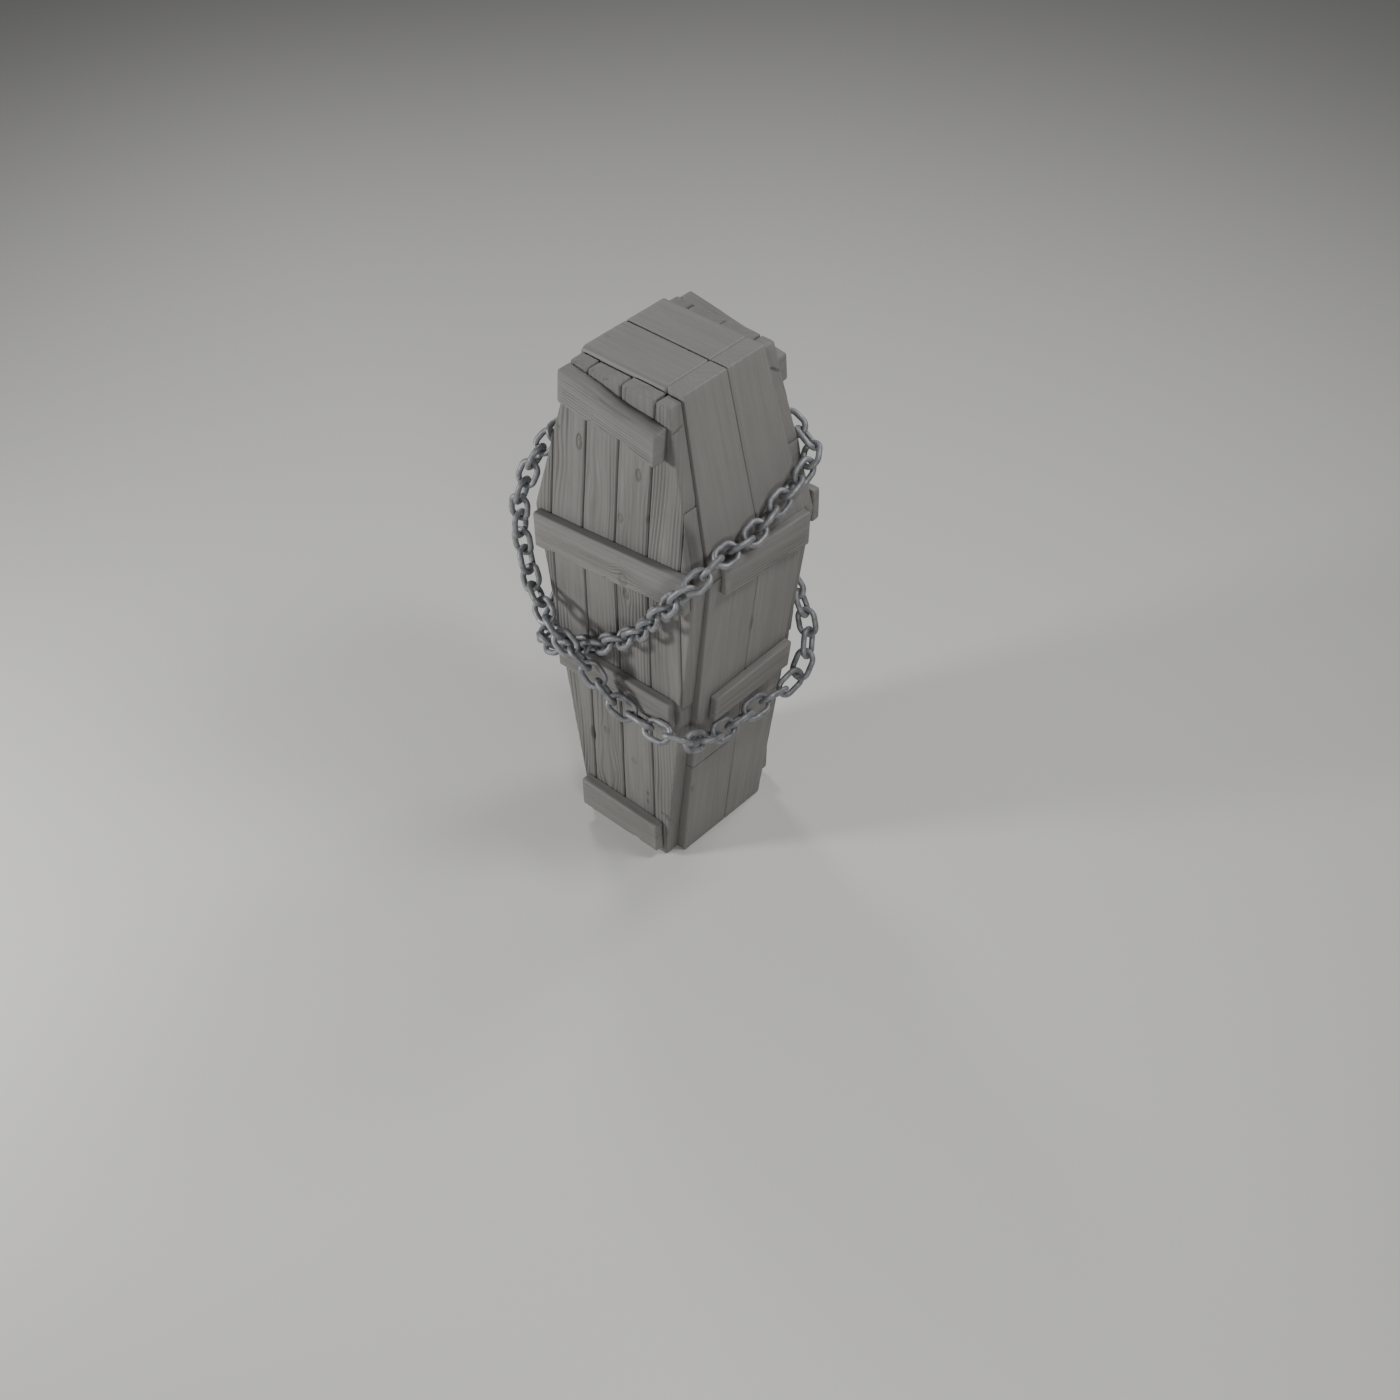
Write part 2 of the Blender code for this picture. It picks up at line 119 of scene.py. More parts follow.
def linearColor(hexText):
    channels = [int(hexText[i:i + 2], 16) / 255 for i in (1, 3, 5)]
    linear = [c / 12.92 if c <= 0.04045 else ((c + 0.055) / 1.055) ** 2.4 for c in channels]
    return (*linear, 1.0)


def addNode(tree, kind, settings=None, inputs=None):
    # One node, its settings and what is linked or set on its sockets
    node = tree.nodes.new("ShaderNode" + kind)
    for name, value in (settings or {}).items():
        if name == "ramp":
            while len(node.color_ramp.elements) < len(value):
                node.color_ramp.elements.new(1.0)
            for element, (place, color) in zip(node.color_ramp.elements, value):
                element.position = place
                element.color = linearColor(color)
        else:
            setattr(node, name, value)
    for name, value in (inputs or {}).items():
        if isinstance(value, bpy.types.NodeSocket):
            tree.links.new(value, node.inputs[name])
        else:
            node.inputs[name].default_value = value
    return node


def newMaterial(name):
    material = bpy.data.materials.new(name)
    material.use_nodes = True
    tree = material.node_tree
    return material, tree, tree.nodes["Principled BSDF"]


timberLook = {
    "weathered": {
        "name": "rough sawn softwood, weathered silver grey",
        "tones": ((0.28, "#686663"), (0.45, "#787673"), (0.58, "#807e7b"), (0.75, "#8e8c88")),
        # The colour painted into the deeper hollows as shade, and the most of it mixed in
        "groove": "#4a4845",
        "grooveShare": 0.6,
        "roughness": (0.62, 0.86),
        "fibreBump": 0.0006,
    },
    "planed": {
        "name": "planed softwood boards, weathered grey",
        "tones": ((0.25, "#6f6d6a"), (0.45, "#797774"), (0.60, "#807e7b"), (0.78, "#898784")),
        # The colour painted into the deeper hollows as shade, and the most of it mixed in
        "groove": "#504e4b",
        "grooveShare": 0.6,
        "roughness": (0.48, 0.66),
        "fibreBump": 0.00025,
    },
}


# Streaks to the metre along and across the grain, their detail, and their share in the tone.
# Softwood rings show about 15 mm apart and stains 140 mm. Fibre, under 1 mm, is drawn 2.5 mm
# wide so that it can be seen.
timberStreaks = {
    "rings": (1.6, 65.0, 4.0, 0.45),
    "fibre": (9.0, 400.0, 3.0, 0.30),
    "stains": (2.5, 7.0, 5.0, 0.25),
}


def timberMaterial(look):
    # Softwood left out for years: the sun and rain take its colour to silver grey, its hollows
    # are painted darker as shade, and the saw or plane leaves it rough or nearly smooth.
    material, tree, shader = newMaterial(look["name"])
    place = addNode(tree, "Attribute", {"attribute_name": "grainPlace"}).outputs["Vector"]
    depth = addNode(tree, "Attribute", {"attribute_name": "relief"}).outputs["Fac"]
    streaks = {}
    tone = 0.0
    for name, (along, across, detail, share) in timberStreaks.items():
        stretched = addNode(tree, "Mapping", None, {"Vector": place, "Scale": (along, across, 7.0)})
        streaks[name] = addNode(tree, "TexNoise", None, {
            "Vector": stretched.outputs["Vector"], "Scale": 1.0, "Detail": detail, "Roughness": 0.6,
        }).outputs["Fac"]
        tone = addNode(tree, "Math", {"operation": "MULTIPLY_ADD"},
                       {0: streaks[name], 1: share, 2: tone}).outputs[0]
    wood = addNode(tree, "ValToRGB", {"ramp": look["tones"]}, {"Fac": tone}).outputs["Color"]
    # Painted shade: the deeper the hollow, the more its colour is mixed towards the dark groove colour
    dirt = addNode(tree, "Math", {"operation": "MULTIPLY", "use_clamp": True},
                   {0: depth, 1: look["grooveShare"]}).outputs[0]
    shadedWood = addNode(tree, "Mix", {"data_type": "RGBA"},
                    {"Factor": dirt, 6: wood, 7: linearColor(look["groove"])}).outputs[2]
    # The paler wood is the smoother
    low, high = look["roughness"]
    rough = addNode(tree, "MapRange", None, {"Value": tone, "From Min": 0.35, "From Max": 0.65,
                                             "To Min": high, "To Max": low}).outputs[0]
    bump = addNode(tree, "Bump", None, {"Height": streaks["fibre"], "Strength": 0.7,
                                        "Distance": look["fibreBump"]})
    tree.links.new(shadedWood, shader.inputs["Base Color"])
    tree.links.new(rough, shader.inputs["Roughness"])
    tree.links.new(bump.outputs["Normal"], shader.inputs["Normal"])
    shader.inputs["IOR"].default_value = 1.53  # cellulose
    return material


ironLook = {
    "name": "forged round iron wire, dull grey",
    "tones": ((0.38, "#808184"), (0.52, "#909194"), (0.66, "#9d9ea1")),
    "roughness": (0.52, 0.64),
    "metallic": 0.6,  # dulled by its scale
    "scaleSpacing": 0.030,  # patches of forge scale, 30 mm
    "hammerSpacing": 0.007,  # hammer marks, 7 mm
    "hammerDepth": 0.0003,
}


def ironMaterial(look):
    # Wrought iron bent hot: thin dark scale in patches, rubbed brighter where links rub,
    # so the highlights are soft and uneven.
    material, tree, shader = newMaterial(look["name"])
    place = addNode(tree, "TexCoord").outputs["Object"]
    patches = addNode(tree, "TexNoise", None, {"Vector": place, "Scale": 1 / look["scaleSpacing"],
                                               "Detail": 4.0, "Roughness": 0.6}).outputs["Fac"]
    hammer = addNode(tree, "TexNoise", None, {"Vector": place, "Scale": 1 / look["hammerSpacing"],
                                              "Detail": 2.0}).outputs["Fac"]
    iron = addNode(tree, "ValToRGB", {"ramp": look["tones"]}, {"Fac": patches}).outputs["Color"]
    low, high = look["roughness"]
    rough = addNode(tree, "MapRange", None, {"Value": patches, "From Min": 0.35, "From Max": 0.65,
                                             "To Min": high, "To Max": low}).outputs[0]
    bump = addNode(tree, "Bump", None, {"Height": hammer, "Strength": 0.5,
                                        "Distance": look["hammerDepth"]})
    tree.links.new(iron, shader.inputs["Base Color"])
    tree.links.new(rough, shader.inputs["Roughness"])
    tree.links.new(bump.outputs["Normal"], shader.inputs["Normal"])
    shader.inputs["Metallic"].default_value = look["metallic"]
    return material


finishes = {
    "weathered_timber": timberMaterial(timberLook["weathered"]),
    "planed_timber": timberMaterial(timberLook["planed"]),
    "wrought_iron": ironMaterial(ironLook),
}
print("materials made")


def addToScene(name, data):
    thing = bpy.data.objects.new(name, data)
    bpy.context.scene.collection.objects.link(thing)
    return thing


def camelName(node):
    first, *rest = node.split("_")
    return first + "".join(word.capitalize() for word in rest)


def placePiece(node, mesh, slot):
    # The finished piece stands in for the plain solid of that node
    mesh.shade_smooth()
    mesh.materials.append(finishes[slot])
    piece = addToScene(camelName(node), mesh)
    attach(piece, "root")
    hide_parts(node)


# The carved surface of a board

def ripple(u, v, seed):
    # Smooth noise from -1 to 1 over a plane, one swing about every unit
    size = 128
    table = np.random.default_rng(seed).random((size, size)) * 2 - 1
    u, v = np.broadcast_arrays(u, v)
    column = np.floor(u).astype(int)
    row = np.floor(v).astype(int)
    su = u - column
    sv = v - row
    su = su * su * (3 - 2 * su)
    sv = sv * sv * (3 - 2 * sv)
    near, right, above, far = (table[(column + i) % size, (row + j) % size]
                               for i, j in ((0, 0), (1, 0), (0, 1), (1, 1)))
    return (near * (1 - su) + right * su) * (1 - sv) + (above * (1 - su) + far * su) * sv


# Grain cut into each kind of board, in metres: the spacing and depth of its grooves, how
# narrow they are, how far they wander, how the surface swells between, and the depth that
# sets how dark a hollow is painted as shade
grain = {
    "plank": {"spacing": 0.0150, "depth": 0.0042, "narrow": 2.2, "fine": 0.0062, "fineDepth": 0.0012,
              "wave": 0.014, "hollow": 0.0016, "patchy": 0.45, "dirt": 0.0030},
    "batten": {"spacing": 0.0115, "depth": 0.0030, "narrow": 4.0, "fine": 0.0052, "fineDepth": 0.0003,
               "wave": 0.004, "hollow": 0.0012, "patchy": 0.50, "dirt": 0.0030},
    "board": {"spacing": 0.0130, "depth": 0.0004, "narrow": 3.0, "fine": 0.0060, "fineDepth": 0.0001,
              "wave": 0.006, "hollow": 0.0008, "patchy": 0.30, "dirt": 0.0045},
}


def grainDepth(along, across, seed, cut, strength, knots):
    # Weathering eats the soft wood between the rings, which swing round the knots
    line = np.array(across, dtype=float)
    knotDepth = np.zeros_like(line)
    for knotAlong, knotAcross, length, width, depth in knots:
        da = along - knotAlong
        dc = across - knotAcross
        far = (da / (2.6 * length)) ** 2 + (dc / (2.2 * width)) ** 2
        line = line - dc * np.exp(-far) * 0.85
        # A knot is a ragged outer ring and a shallower one inside it
        ring = np.sqrt((da / length) ** 2 + (dc / width) ** 2) + 0.12 * ripple(da * 90, dc * 90, seed + 9)
        knotDepth += depth * np.exp(-((ring - 1.0) / 0.20) ** 2)
        knotDepth += 0.6 * depth * np.exp(-((ring - 0.45) / 0.17) ** 2)
    # Grooves wander slowly and again more finely, and fade in and out in patches
    wander = ripple(along * 2.3, across * 7, seed) + 0.35 * ripple(along * 7, across * 16, seed + 1)
    wave = cut["wave"] * wander
    phase = (line + wave) / cut["spacing"] + 0.5 * ripple(along * 1.1, across * 14, seed + 2)
    lines = (0.5 - 0.5 * np.cos(2 * np.pi * phase)) ** cut["narrow"]
    patchy = np.clip(cut["patchy"] + 0.75 * ripple(along * 2.6, phase * 0.45, seed + 3), 0.08, 1.0)
    fine = (0.5 - 0.5 * np.cos(2 * np.pi * (line + wave * 0.8) / cut["fine"])) ** 2
    finePatchy = np.clip(0.5 + 0.6 * ripple(along * 5, phase * 1.3, seed + 4), 0.0, 1.0)
    hollow = cut["hollow"] * (0.5 + 0.5 * ripple(along * 3.5, across * 11, seed + 5))
    surface = strength * (cut["depth"] * patchy * lines + cut["fineDepth"] * finePatchy * fine)
    return surface + hollow + knotDepth


def markDepth(places, marks):
    # Cracks, dents and worn hollows, each along a line from one place to another, and
    # shallower towards its ends
    depth = np.zeros(places.shape[:-1])
    for start, end, reach, deep in marks:
        start = np.array(start)
        end = np.array(end)
        run = end - start
        length = max(float(run @ run), 1e-12)
        share = np.clip(((places - start) @ run) / length, 0.0, 1.0)
        away = np.linalg.norm(places - start - share[..., None] * run, axis=-1)
        taper = np.clip(1.25 - np.abs(2 * share - 1) ** 3, 0.35, 1.0)
        depth = np.maximum(depth, deep * taper * np.exp(-(away / reach) ** 2.5))
    return depth


def roundedLoop(width, thick, corners, steps, arcSteps=4):
    # Points round a board's section for each ring along it, with the way out at each point.
    # width, thick and each corner's two radii are one number a ring.
    front, right, back, left = steps
    a, b, outA, outB = [], [], [], []

    def point(pa, pb, na, nb):
        a.append(pa + 0 * width)
        b.append(pb + 0 * width)
        outA.append(na)
        outB.append(nb)

    (r0a, r0b), (r1a, r1b), (r2a, r2b), (r3a, r3b) = corners
    # Each side with its way out, and the corner after it: centre, radii and first angle
    sides = (
        (front, lambda t: (r0a + t * (width - r0a - r1a), 0 * width), (0, -1),
         (width - r1a, r1b, r1a, r1b, -90)),
        (right, lambda t: (width, r1b + t * (thick - r1b - r2b)), (1, 0),
         (width - r2a, thick - r2b, r2a, r2b, 0)),
        (back, lambda t: (width - r2a - t * (width - r2a - r3a), thick), (0, 1),
         (r3a, thick - r3b, r3a, r3b, 90)),
        (left, lambda t: (0 * width, thick - r3b - t * (thick - r3b - r0b)), (-1, 0),
         (r0a, r0b, r0a, r0b, 180)),
    )
    for points, run, (na, nb), (centreA, centreB, radiusA, radiusB, turn) in sides:
        for t in np.linspace(0, 1, points):
            point(*run(t), na, nb)
        for k in range(1, arcSteps):
            angle = math.radians(turn + 90 * k / arcSteps)
            point(centreA + radiusA * math.cos(angle), centreB + radiusB * math.sin(angle),
                  math.cos(angle), math.sin(angle))
    return np.array(a).T, np.array(b).T, np.array(outA), np.array(outB)


def lengthRings(board):
    # Where each ring of points lies along a board, how far it is drawn in, and how far
    # its way out leans to the end
    (start, end), endRound = board["ends"], board["endRound"]
    first, last = start + endRound, end - endRound
    body = list(np.linspace(first, last, max(2, round((end - start) / board["step"]))))
    for low, high, fineStep in board.get("dense", ()):
        if high > first and low < last:
            low, high = max(low, first), min(high, last)
            body = [c for c in body if c <= low or c >= high]
            body += list(np.linspace(low, high, max(2, round((high - low) / fineStep)))[1:-1])
    body.sort()
    # Two rings lie in the end's flat face, then four round its edge
    head = [(start, 2.4 * endRound, -1.0), (start, 1.6 * endRound, -1.0)]
    for turn in (math.radians(angle) for angle in (90, 67.5, 45, 22.5)):
        out = math.sin(turn)
        head.append((start + endRound * (1 - out), endRound * (1 - math.cos(turn)), -out))
    tail = [(start + end - c, inset, -lean) for c, inset, lean in reversed(head)]
    return head + [(c, 0.0, 0.0) for c in body] + tail


def carvedRings(board):
    # The board's points, ring by ring, each moved in by the depth of what is cut there.
    # c runs along the board, a across its face and b down from the face.
    c, inset, lean = np.array(lengthRings(board)).T
    width, thick = (measure + 0 * c for measure in board["size"](c))
    a, b, outA, outB = roundedLoop(width, thick, board["corners"](c, width), board["steps"])
    inset = np.minimum(inset, 0.42 * np.minimum(width, thick))
    middleA, middleB = width[:, None] / 2, thick[:, None] / 2
    a = middleA + (a - middleA) * (1 - 2 * inset / width)[:, None]
    b = middleB + (b - middleB) * (1 - 2 * inset / thick)[:, None]
    low, high = board["edges"](c)
    a = low[:, None] + a * (1 - (low + high) / width)[:, None]
    along = np.broadcast_to(c[:, None], a.shape)
    turned = np.sqrt(1 - lean ** 2)[:, None]
    wayA, wayB = outA[None, :] * turned, outB[None, :] * turned
    wayC = np.broadcast_to(lean[:, None], a.shape)

    # The grain runs over the edges, full on the face, less on the sides, least behind
    across = board["across"](along, a) + np.where(a > middleA, 1.0, -1.0) * b
    strength = np.where(wayB < -0.7, 1.0, np.where(wayB > 0.5, 0.2, 0.4))
    if "strength" in board:
        strength = strength * board["strength"](along, a)
    cut = grain[board["kind"]]
    depth = grainDepth(along, across, board["seed"], cut, strength * turned, board.get("knots", ()))
    depth = depth + markDepth(board["place"](along, a, b), board.get("marks", ()))
    rings = board["place"](along - wayC * depth, a - wayA * depth, b - wayB * depth)
    return rings, along, across, depth


def skinOver(node, rings):
    # A closed mesh over rings of points, with one face across each end
    ringCount, around = rings.shape[:2]
    faces = []
    lastRing = (ringCount - 1) * around
    for start in range(0, lastRing, around):
        for k in range(around):
            following = (k + 1) % around
            faces.append((start + k, start + following,
                          start + around + following, start + around + k))
    faces += [tuple(range(around)), tuple(range(lastRing, lastRing + around))]
    mesh = bpy.data.meshes.new(camelName(node))
    mesh.from_pydata(rings.reshape(-1, 3).tolist(), [], faces)
    shape = bmesh.new()
    shape.from_mesh(mesh)
    bmesh.ops.recalc_face_normals(shape, faces=shape.faces[:])
    shape.to_mesh(mesh)
    shape.free()
    return mesh


def keepGrain(mesh, board, along, across, depth):
    # What the timber's material reads: the place in the grain and how dark its hollows are painted as
    # shade
    dirt = np.clip(depth / grain[board["kind"]]["dirt"] - 0.25, 0, 1)
    relief = mesh.attributes.new("relief", "FLOAT", "POINT")
    relief.data.foreach_set("value", dirt.astype(np.float32).ravel())
    # Every board comes from another part of the tree
    shift = np.full_like(across, (board["seed"] * 0.37) % 10)
    place = mesh.attributes.new("grainPlace", "FLOAT_VECTOR", "POINT")
    place.data.foreach_set("vector", np.stack([along, across, shift], -1).astype(np.float32).ravel())


def makeBoard(node, board, slot):
    # board: ends, size(c), place(c, a, b), corners(c, width), and how it is carved
    rings, along, across, depth = carvedRings(board)
    mesh = skinOver(node, rings)
    keepGrain(mesh, board, along, across, depth)
    placePiece(node, mesh, slot)


def wanderingEdges(amounts, seed, notches=()):
    # How far each long edge has worn in along a board. A notch is its edge (0 or 1),
    # its place along the board, its half length and its depth.
    def edges(c):
        worn = [amount * (0.5 + 0.5 * ripple(c * 9, 0.5 + 0 * c, seed + k))
                for k, amount in enumerate(amounts)]
        for edge, place, reach, deep in notches:
            worn[edge] = worn[edge] + deep * np.exp(-(np.abs(c - place) / reach) ** 3)
        return worn
    return edges


# The lid and the back panel

# How planks are worn and drawn. The rim is worn rounder than the seams, which grow into it.
plank = {
    "rimRound": 0.012,
    "seamRound": 0.0075,
    "rimBlend": 0.012,
    "roundShare": (0.62, 0.90),  # the most that a round takes of the width and thickness
    "behindRound": 0.003,
    "endRound": 0.009,
    "wedgeEndRound": 0.0016,
    "wander": 0.0022,
    "pointsAcross": {"lid": 66, "back": 48},
    "pointsAround": (9, 5, 9),  # over the right edge, the back and the left edge
    "ringStep": {"lid": 0.010, "back": 0.014},
    "knotStep": 0.004,
    "markStep": 0.0018,
    "seed": {"lid": 100, "back": 1100},
    "seedStep": 100,
}
leftWedge, rightWedge = -3, 2  # the outer planks, as numbered from the coffin's middle
# How strongly the left and right halves of each plank are grooved
plankGrooves = {
    -3: (0.80, 0.75), -2: (1.20, 0.40), -1: (0.90, 0.85),
    0: (0.75, 0.80), 1: (0.70, 0.60), 2: (0.40, 0.30),
}
# Knots: height, x, half height, half width, depth. One with no depth only turns the grain.
plankKnots = {
    "lid": (
        (1.692, -0.165, 0.026, 0.011, 0.0042), (1.684, 0.100, 0.020, 0.010, 0.0036),
        (1.485, 0.029, 0.016, 0.010, 0.0026), (1.470, -0.095, 0.055, 0.026, 0.0),
        (1.176, 0.050, 0.018, 0.011, 0.0034), (0.467, -0.083, 0.012, 0.010, 0.0024),
        (0.395, 0.048, 0.012, 0.010, 0.0024), (0.245, -0.085, 0.045, 0.028, 0.0),
    ),
    "back": (
        (1.560, 0.070, 0.020, 0.011, 0.0026), (1.020, -0.210, 0.018, 0.010, 0.0024),
        (0.520, 0.085, 0.016, 0.010, 0.0022), (0.930, -0.060, 0.014, 0.009, 0.0018),
    ),
}
# Cracks, dents and hollows: start, end, reach and depth
plankMarks = {
    "lid": (
        ((0.240, -0.285, 1.886), (0.232, -0.215, 1.900), 0.0035, 0.0060),  # crack across the rim
        ((0.240, -0.276, 1.866), (0.241, -0.274, 1.860), 0.0050, 0.0025),
        ((0.345, -0.308, 1.560), (0.372, -0.314, 1.415), 0.0420, 0.0180),  # worn shoulder rim
        ((0.199, -0.281, 0.212), (0.212, -0.279, 0.190), 0.0080, 0.0060),  # by the foot batten
        ((0.174, -0.281, 0.212), (0.190, -0.281, 0.206), 0.0050, 0.0030),
        ((0.111, -0.283, 0.276), (0.112, -0.283, 0.262), 0.0060, 0.0028),  # two dents by the third seam
        ((0.109, -0.282, 0.234), (0.109, -0.282, 0.218), 0.0060, 0.0028),
        ((0.312, -0.298, 0.862), (0.318, -0.298, 0.848), 0.0050, 0.0030),
        ((-0.123, -0.260, 1.984), (-0.110, -0.256, 1.984), 0.0060, 0.0050),
        ((-0.060, -0.262, 1.972), (-0.048, -0.262, 1.976), 0.0050, 0.0030),
        ((-0.258, -0.283, 1.716), (-0.256, -0.283, 1.704), 0.0060, 0.0022),
    ),
    "back": (
        ((0.233, 0.218, 1.902), (0.240, 0.256, 1.874), 0.0040, 0.0060),  # crack across the rear rim
        ((-0.240, 0.285, 1.820), (-0.232, 0.230, 1.830), 0.0035, 0.0035),
        ((0.330, 0.300, 0.990), (0.338, 0.296, 0.962), 0.0100, 0.0060),
        ((-0.120, 0.285, 0.300), (-0.118, 0.285, 0.285), 0.0060, 0.0026),
    ),
}
# Places where a seam has opened: plank, its edge (0 left, 1 right), height, half length, depth
seamGaps = {
    "lid": (
        (-2, 1, 0.410, 0.030, 0.0070), (-1, 0, 0.408, 0.026, 0.0050),
        (-1, 1, 0.560, 0.018, 0.0060), (0, 0, 0.572, 0.012, 0.0030),
        (0, 1, 1.532, 0.014, 0.0050), (1, 1, 0.790, 0.060, 0.0050),
        (-1, 1, 1.984, 0.030, 0.0030), (0, 1, 1.984, 0.024, 0.0030),
    ),
    "back": ((-2, 1, 1.150, 0.022, 0.0050), (0, 0, 0.640, 0.030, 0.0050), (1, 0, 1.600, 0.020, 0.0040)),
}


def plankLine(number, z):
    # The left and right edges of a plank, which the panel's rim cuts short
    rim = panelHalfWidth(z)
    gap = panel["seamGap"] / 2
    left = -rim if number == leftWedge else np.maximum(seamX(number, z) + gap, -rim)
    right = rim if number == rightWedge else np.minimum(seamX(number + 1, z) - gap, rim)
    return left, right


def plankEnds(number):
    if number not in (leftWedge, rightWedge):
        step = panel["topSteps"][number - leftWedge - 1]
        return 0.0, coffin["height"] - panel["topDrop"] - step
    # A wedge ends below and above the shoulder, where it is as narrow as its tip
    ends = []
    for low, high in ((0.0, coffin["shoulder"]), (coffin["shoulder"], coffin["height"])):
        z = np.linspace(low, high, 4001)
        left, right = plankLine(number, z)
        ends.append(float(z[np.argmin(np.abs(right - left - panel["wedgeTip"]))]))
    return tuple(ends)


def plankCorners(number, c, width):
    # The rounds of the two edges in front and the two behind
    def front(pastRim):
        down = eased(plank["seamRound"], plank["rimRound"], pastRim / plank["rimBlend"])
        shareWide, shareThick = plank["roundShare"]
        return np.minimum(down, shareWide * width), np.minimum(down, shareThick * panel["thickness"])

    rim = panelHalfWidth(c)
    onRim = plank["rimBlend"] + 0 * c
    pastLeft = onRim if number == leftWedge else -rim - seamX(number, c)
    pastRight = onRim if number == rightWedge else seamX(number + 1, c) - rim
    behind = np.minimum(plank["behindRound"], 0.3 * width)
    return front(pastLeft), front(pastRight), (behind, behind), (behind, behind)


def markedSpans(number, marks):
    # Where a plank has cracks or dents, and how close its rings of points lie there
    spans = []
    for start, end, reach, _ in marks:
        low, high = sorted((start[2], end[2]))
        left, right = plankLine(number, low)
        if left - reach < min(start[0], end[0]) and max(start[0], end[0]) < right + 2 * reach:
            spans.append((low - 2 * reach, high + 2 * reach, max(plank["markStep"], 0.5 * reach)))
    return spans


def plankBoard(panelName, facing, number):
    def place(c, a, b):
        left, _ = plankLine(number, c)
        return np.stack([left + a, facing * (panelFace(c) - b), c], -1)

    def size(c):
        left, right = plankLine(number, c)
        return right - left, panel["thickness"]

    def strength(c, a):
        # The left and right halves of a plank weather unevenly
        return eased(*plankGrooves[number], a / size(c)[0] * 3 - 1)

    wedge = number in (leftWedge, rightWedge)
    seed = plank["seed"][panelName] + plank["seedStep"] * (number - leftWedge)
    middle = seamX(number + 0.5, coffin["height"] / 2)
    knots = [k for k in plankKnots[panelName] if abs(k[1] - middle) < panel["plankWidth"] / 2]
    knotSpans = [(k[0] - 2.5 * k[2], k[0] + 2.5 * k[2], plank["knotStep"]) for k in knots]
    marks = plankMarks[panelName]
    gaps = [gap[1:] for gap in seamGaps[panelName] if gap[0] == number]
    # A wedge's edges and those beside it stay straight, so that the rim is one line
    leftStays = wedge or number - 1 == leftWedge
    rightStays = wedge or number + 1 == rightWedge
    wander = (0.0 if leftStays else plank["wander"], 0.0 if rightStays else plank["wander"])
    points = plank["pointsAcross"][panelName] // (2 if wedge else 1)
    return {
        "ends": plankEnds(number), "size": size, "place": place,
        "corners": lambda c, width: plankCorners(number, c, width),
        "across": lambda c, a: plankLine(number, c)[0] + a,
        "endRound": plank["wedgeEndRound"] if wedge else plank["endRound"],
        "step": plank["ringStep"][panelName],
        "dense": knotSpans + markedSpans(number, marks),
        "steps": (points, *plank["pointsAround"]),
        "strength": strength,
        "edges": wanderingEdges(wander, seed + 50, gaps),
        "seed": seed, "kind": "plank", "knots": knots, "marks": marks,
    }


for panelName, facing in (("lid", -1), ("back", 1)):
    for number in range(leftWedge, rightWedge + 1):
        node = f"{panelName}_plank_{number - leftWedge + 1}"
        makeBoard(node, plankBoard(panelName, facing, number), "weathered_timber")
print("planks made")


# The battens

batten = {
    "sideThickness": 0.033,
    "edgeRound": 0.009,  # of the two long edges in front
    "uneven": 0.25,  # the share by which that round varies
    "wornTops": {"lid_head": 0.011, "back_head": 0.006},  # what some top edges add to it
    "behindRound": 0.002,
    "endRound": 0.008,
    "plainEnd": 0.022,  # the length by each end that has hardly any lines
    "wander": 0.0035,
    "ringStep": 0.009,
    "breakStep": 0.004,  # by the knots and the short breaks
    "shortBreak": 0.035,
    "points": (64, 10, 6, 10),  # over the face, the upper side, the back and the lower side
    "seeds": (3070, 70),  # the first, and the step to the next
}
topZ, shoulderZ = coffin["height"], coffin["shoulder"]
# Insets of the left and right ends as seen from the front, thickness, a level, and the
# heights of the corners over it: top left, top right, bottom left, bottom right
panelBattens = {
    "lid": {
        "head": (0.0155, 0.0342, 0.058, topZ, (-0.026, -0.090, -0.150, -0.216)),
        "shoulder": (0.0139, 0.0154, 0.036, shoulderZ, (-0.001, 0.050, -0.153, -0.103)),
        "middle": (0.0216, 0.0245, 0.036, 0.0, (0.822, 0.812, 0.702, 0.694)),
        "foot": (0.0186, 0.0233, 0.041, 0.0, (0.187, 0.170, 0.056, 0.038)),
    },
    "back": {
        "head": (0.0228, 0.0314, 0.058, topZ, (-0.020, -0.092, -0.142, -0.206)),
        "shoulder": (0.0071, 0.0036, 0.036, shoulderZ, (0.044, 0.066, -0.090, -0.072)),
        "middle": (0.0234, 0.0316, 0.036, 0.0, (0.790, 0.806, 0.668, 0.686)),
        "foot": (0.0219, 0.0223, 0.041, 0.0, (0.152, 0.136, 0.034, 0.024)),
    },
}
# Insets of the front and rear ends, a level, and the heights of the corners over it: top
# front, top rear, bottom front, bottom rear
sideBattens = {
    "shoulder": (0.0496, 0.0058, shoulderZ, (0.061, 0.039, -0.072, -0.106)),
    "middle": (0.0550, 0.0020, 0.0, (0.790, 0.804, 0.672, 0.680)),
}
# Breaks in the edges: edge (0 bottom, 1 top), place along, half length, depth
battenNotches = {
    "lid_head": ((0, -0.060, 0.015, 0.0130), (0, 0.067, 0.050, 0.0150), (1, 0.030, 0.070, 0.0050)),
    "lid_shoulder": ((0, -0.246, 0.030, 0.0100), (0, -0.005, 0.013, 0.0100), (0, 0.165, 0.085, 0.0100)),
    "lid_foot": ((0, 0.080, 0.016, 0.0060),),
    "right_shoulder": ((0, 0.080, 0.052, 0.0180),),
}
battenKnots = {
    "lid_shoulder": ((0.072, 0.040, 0.016, 0.024, 0.0026),),
    "back_shoulder": ((-0.150, 0.070, 0.018, 0.022, 0.0026),),
}


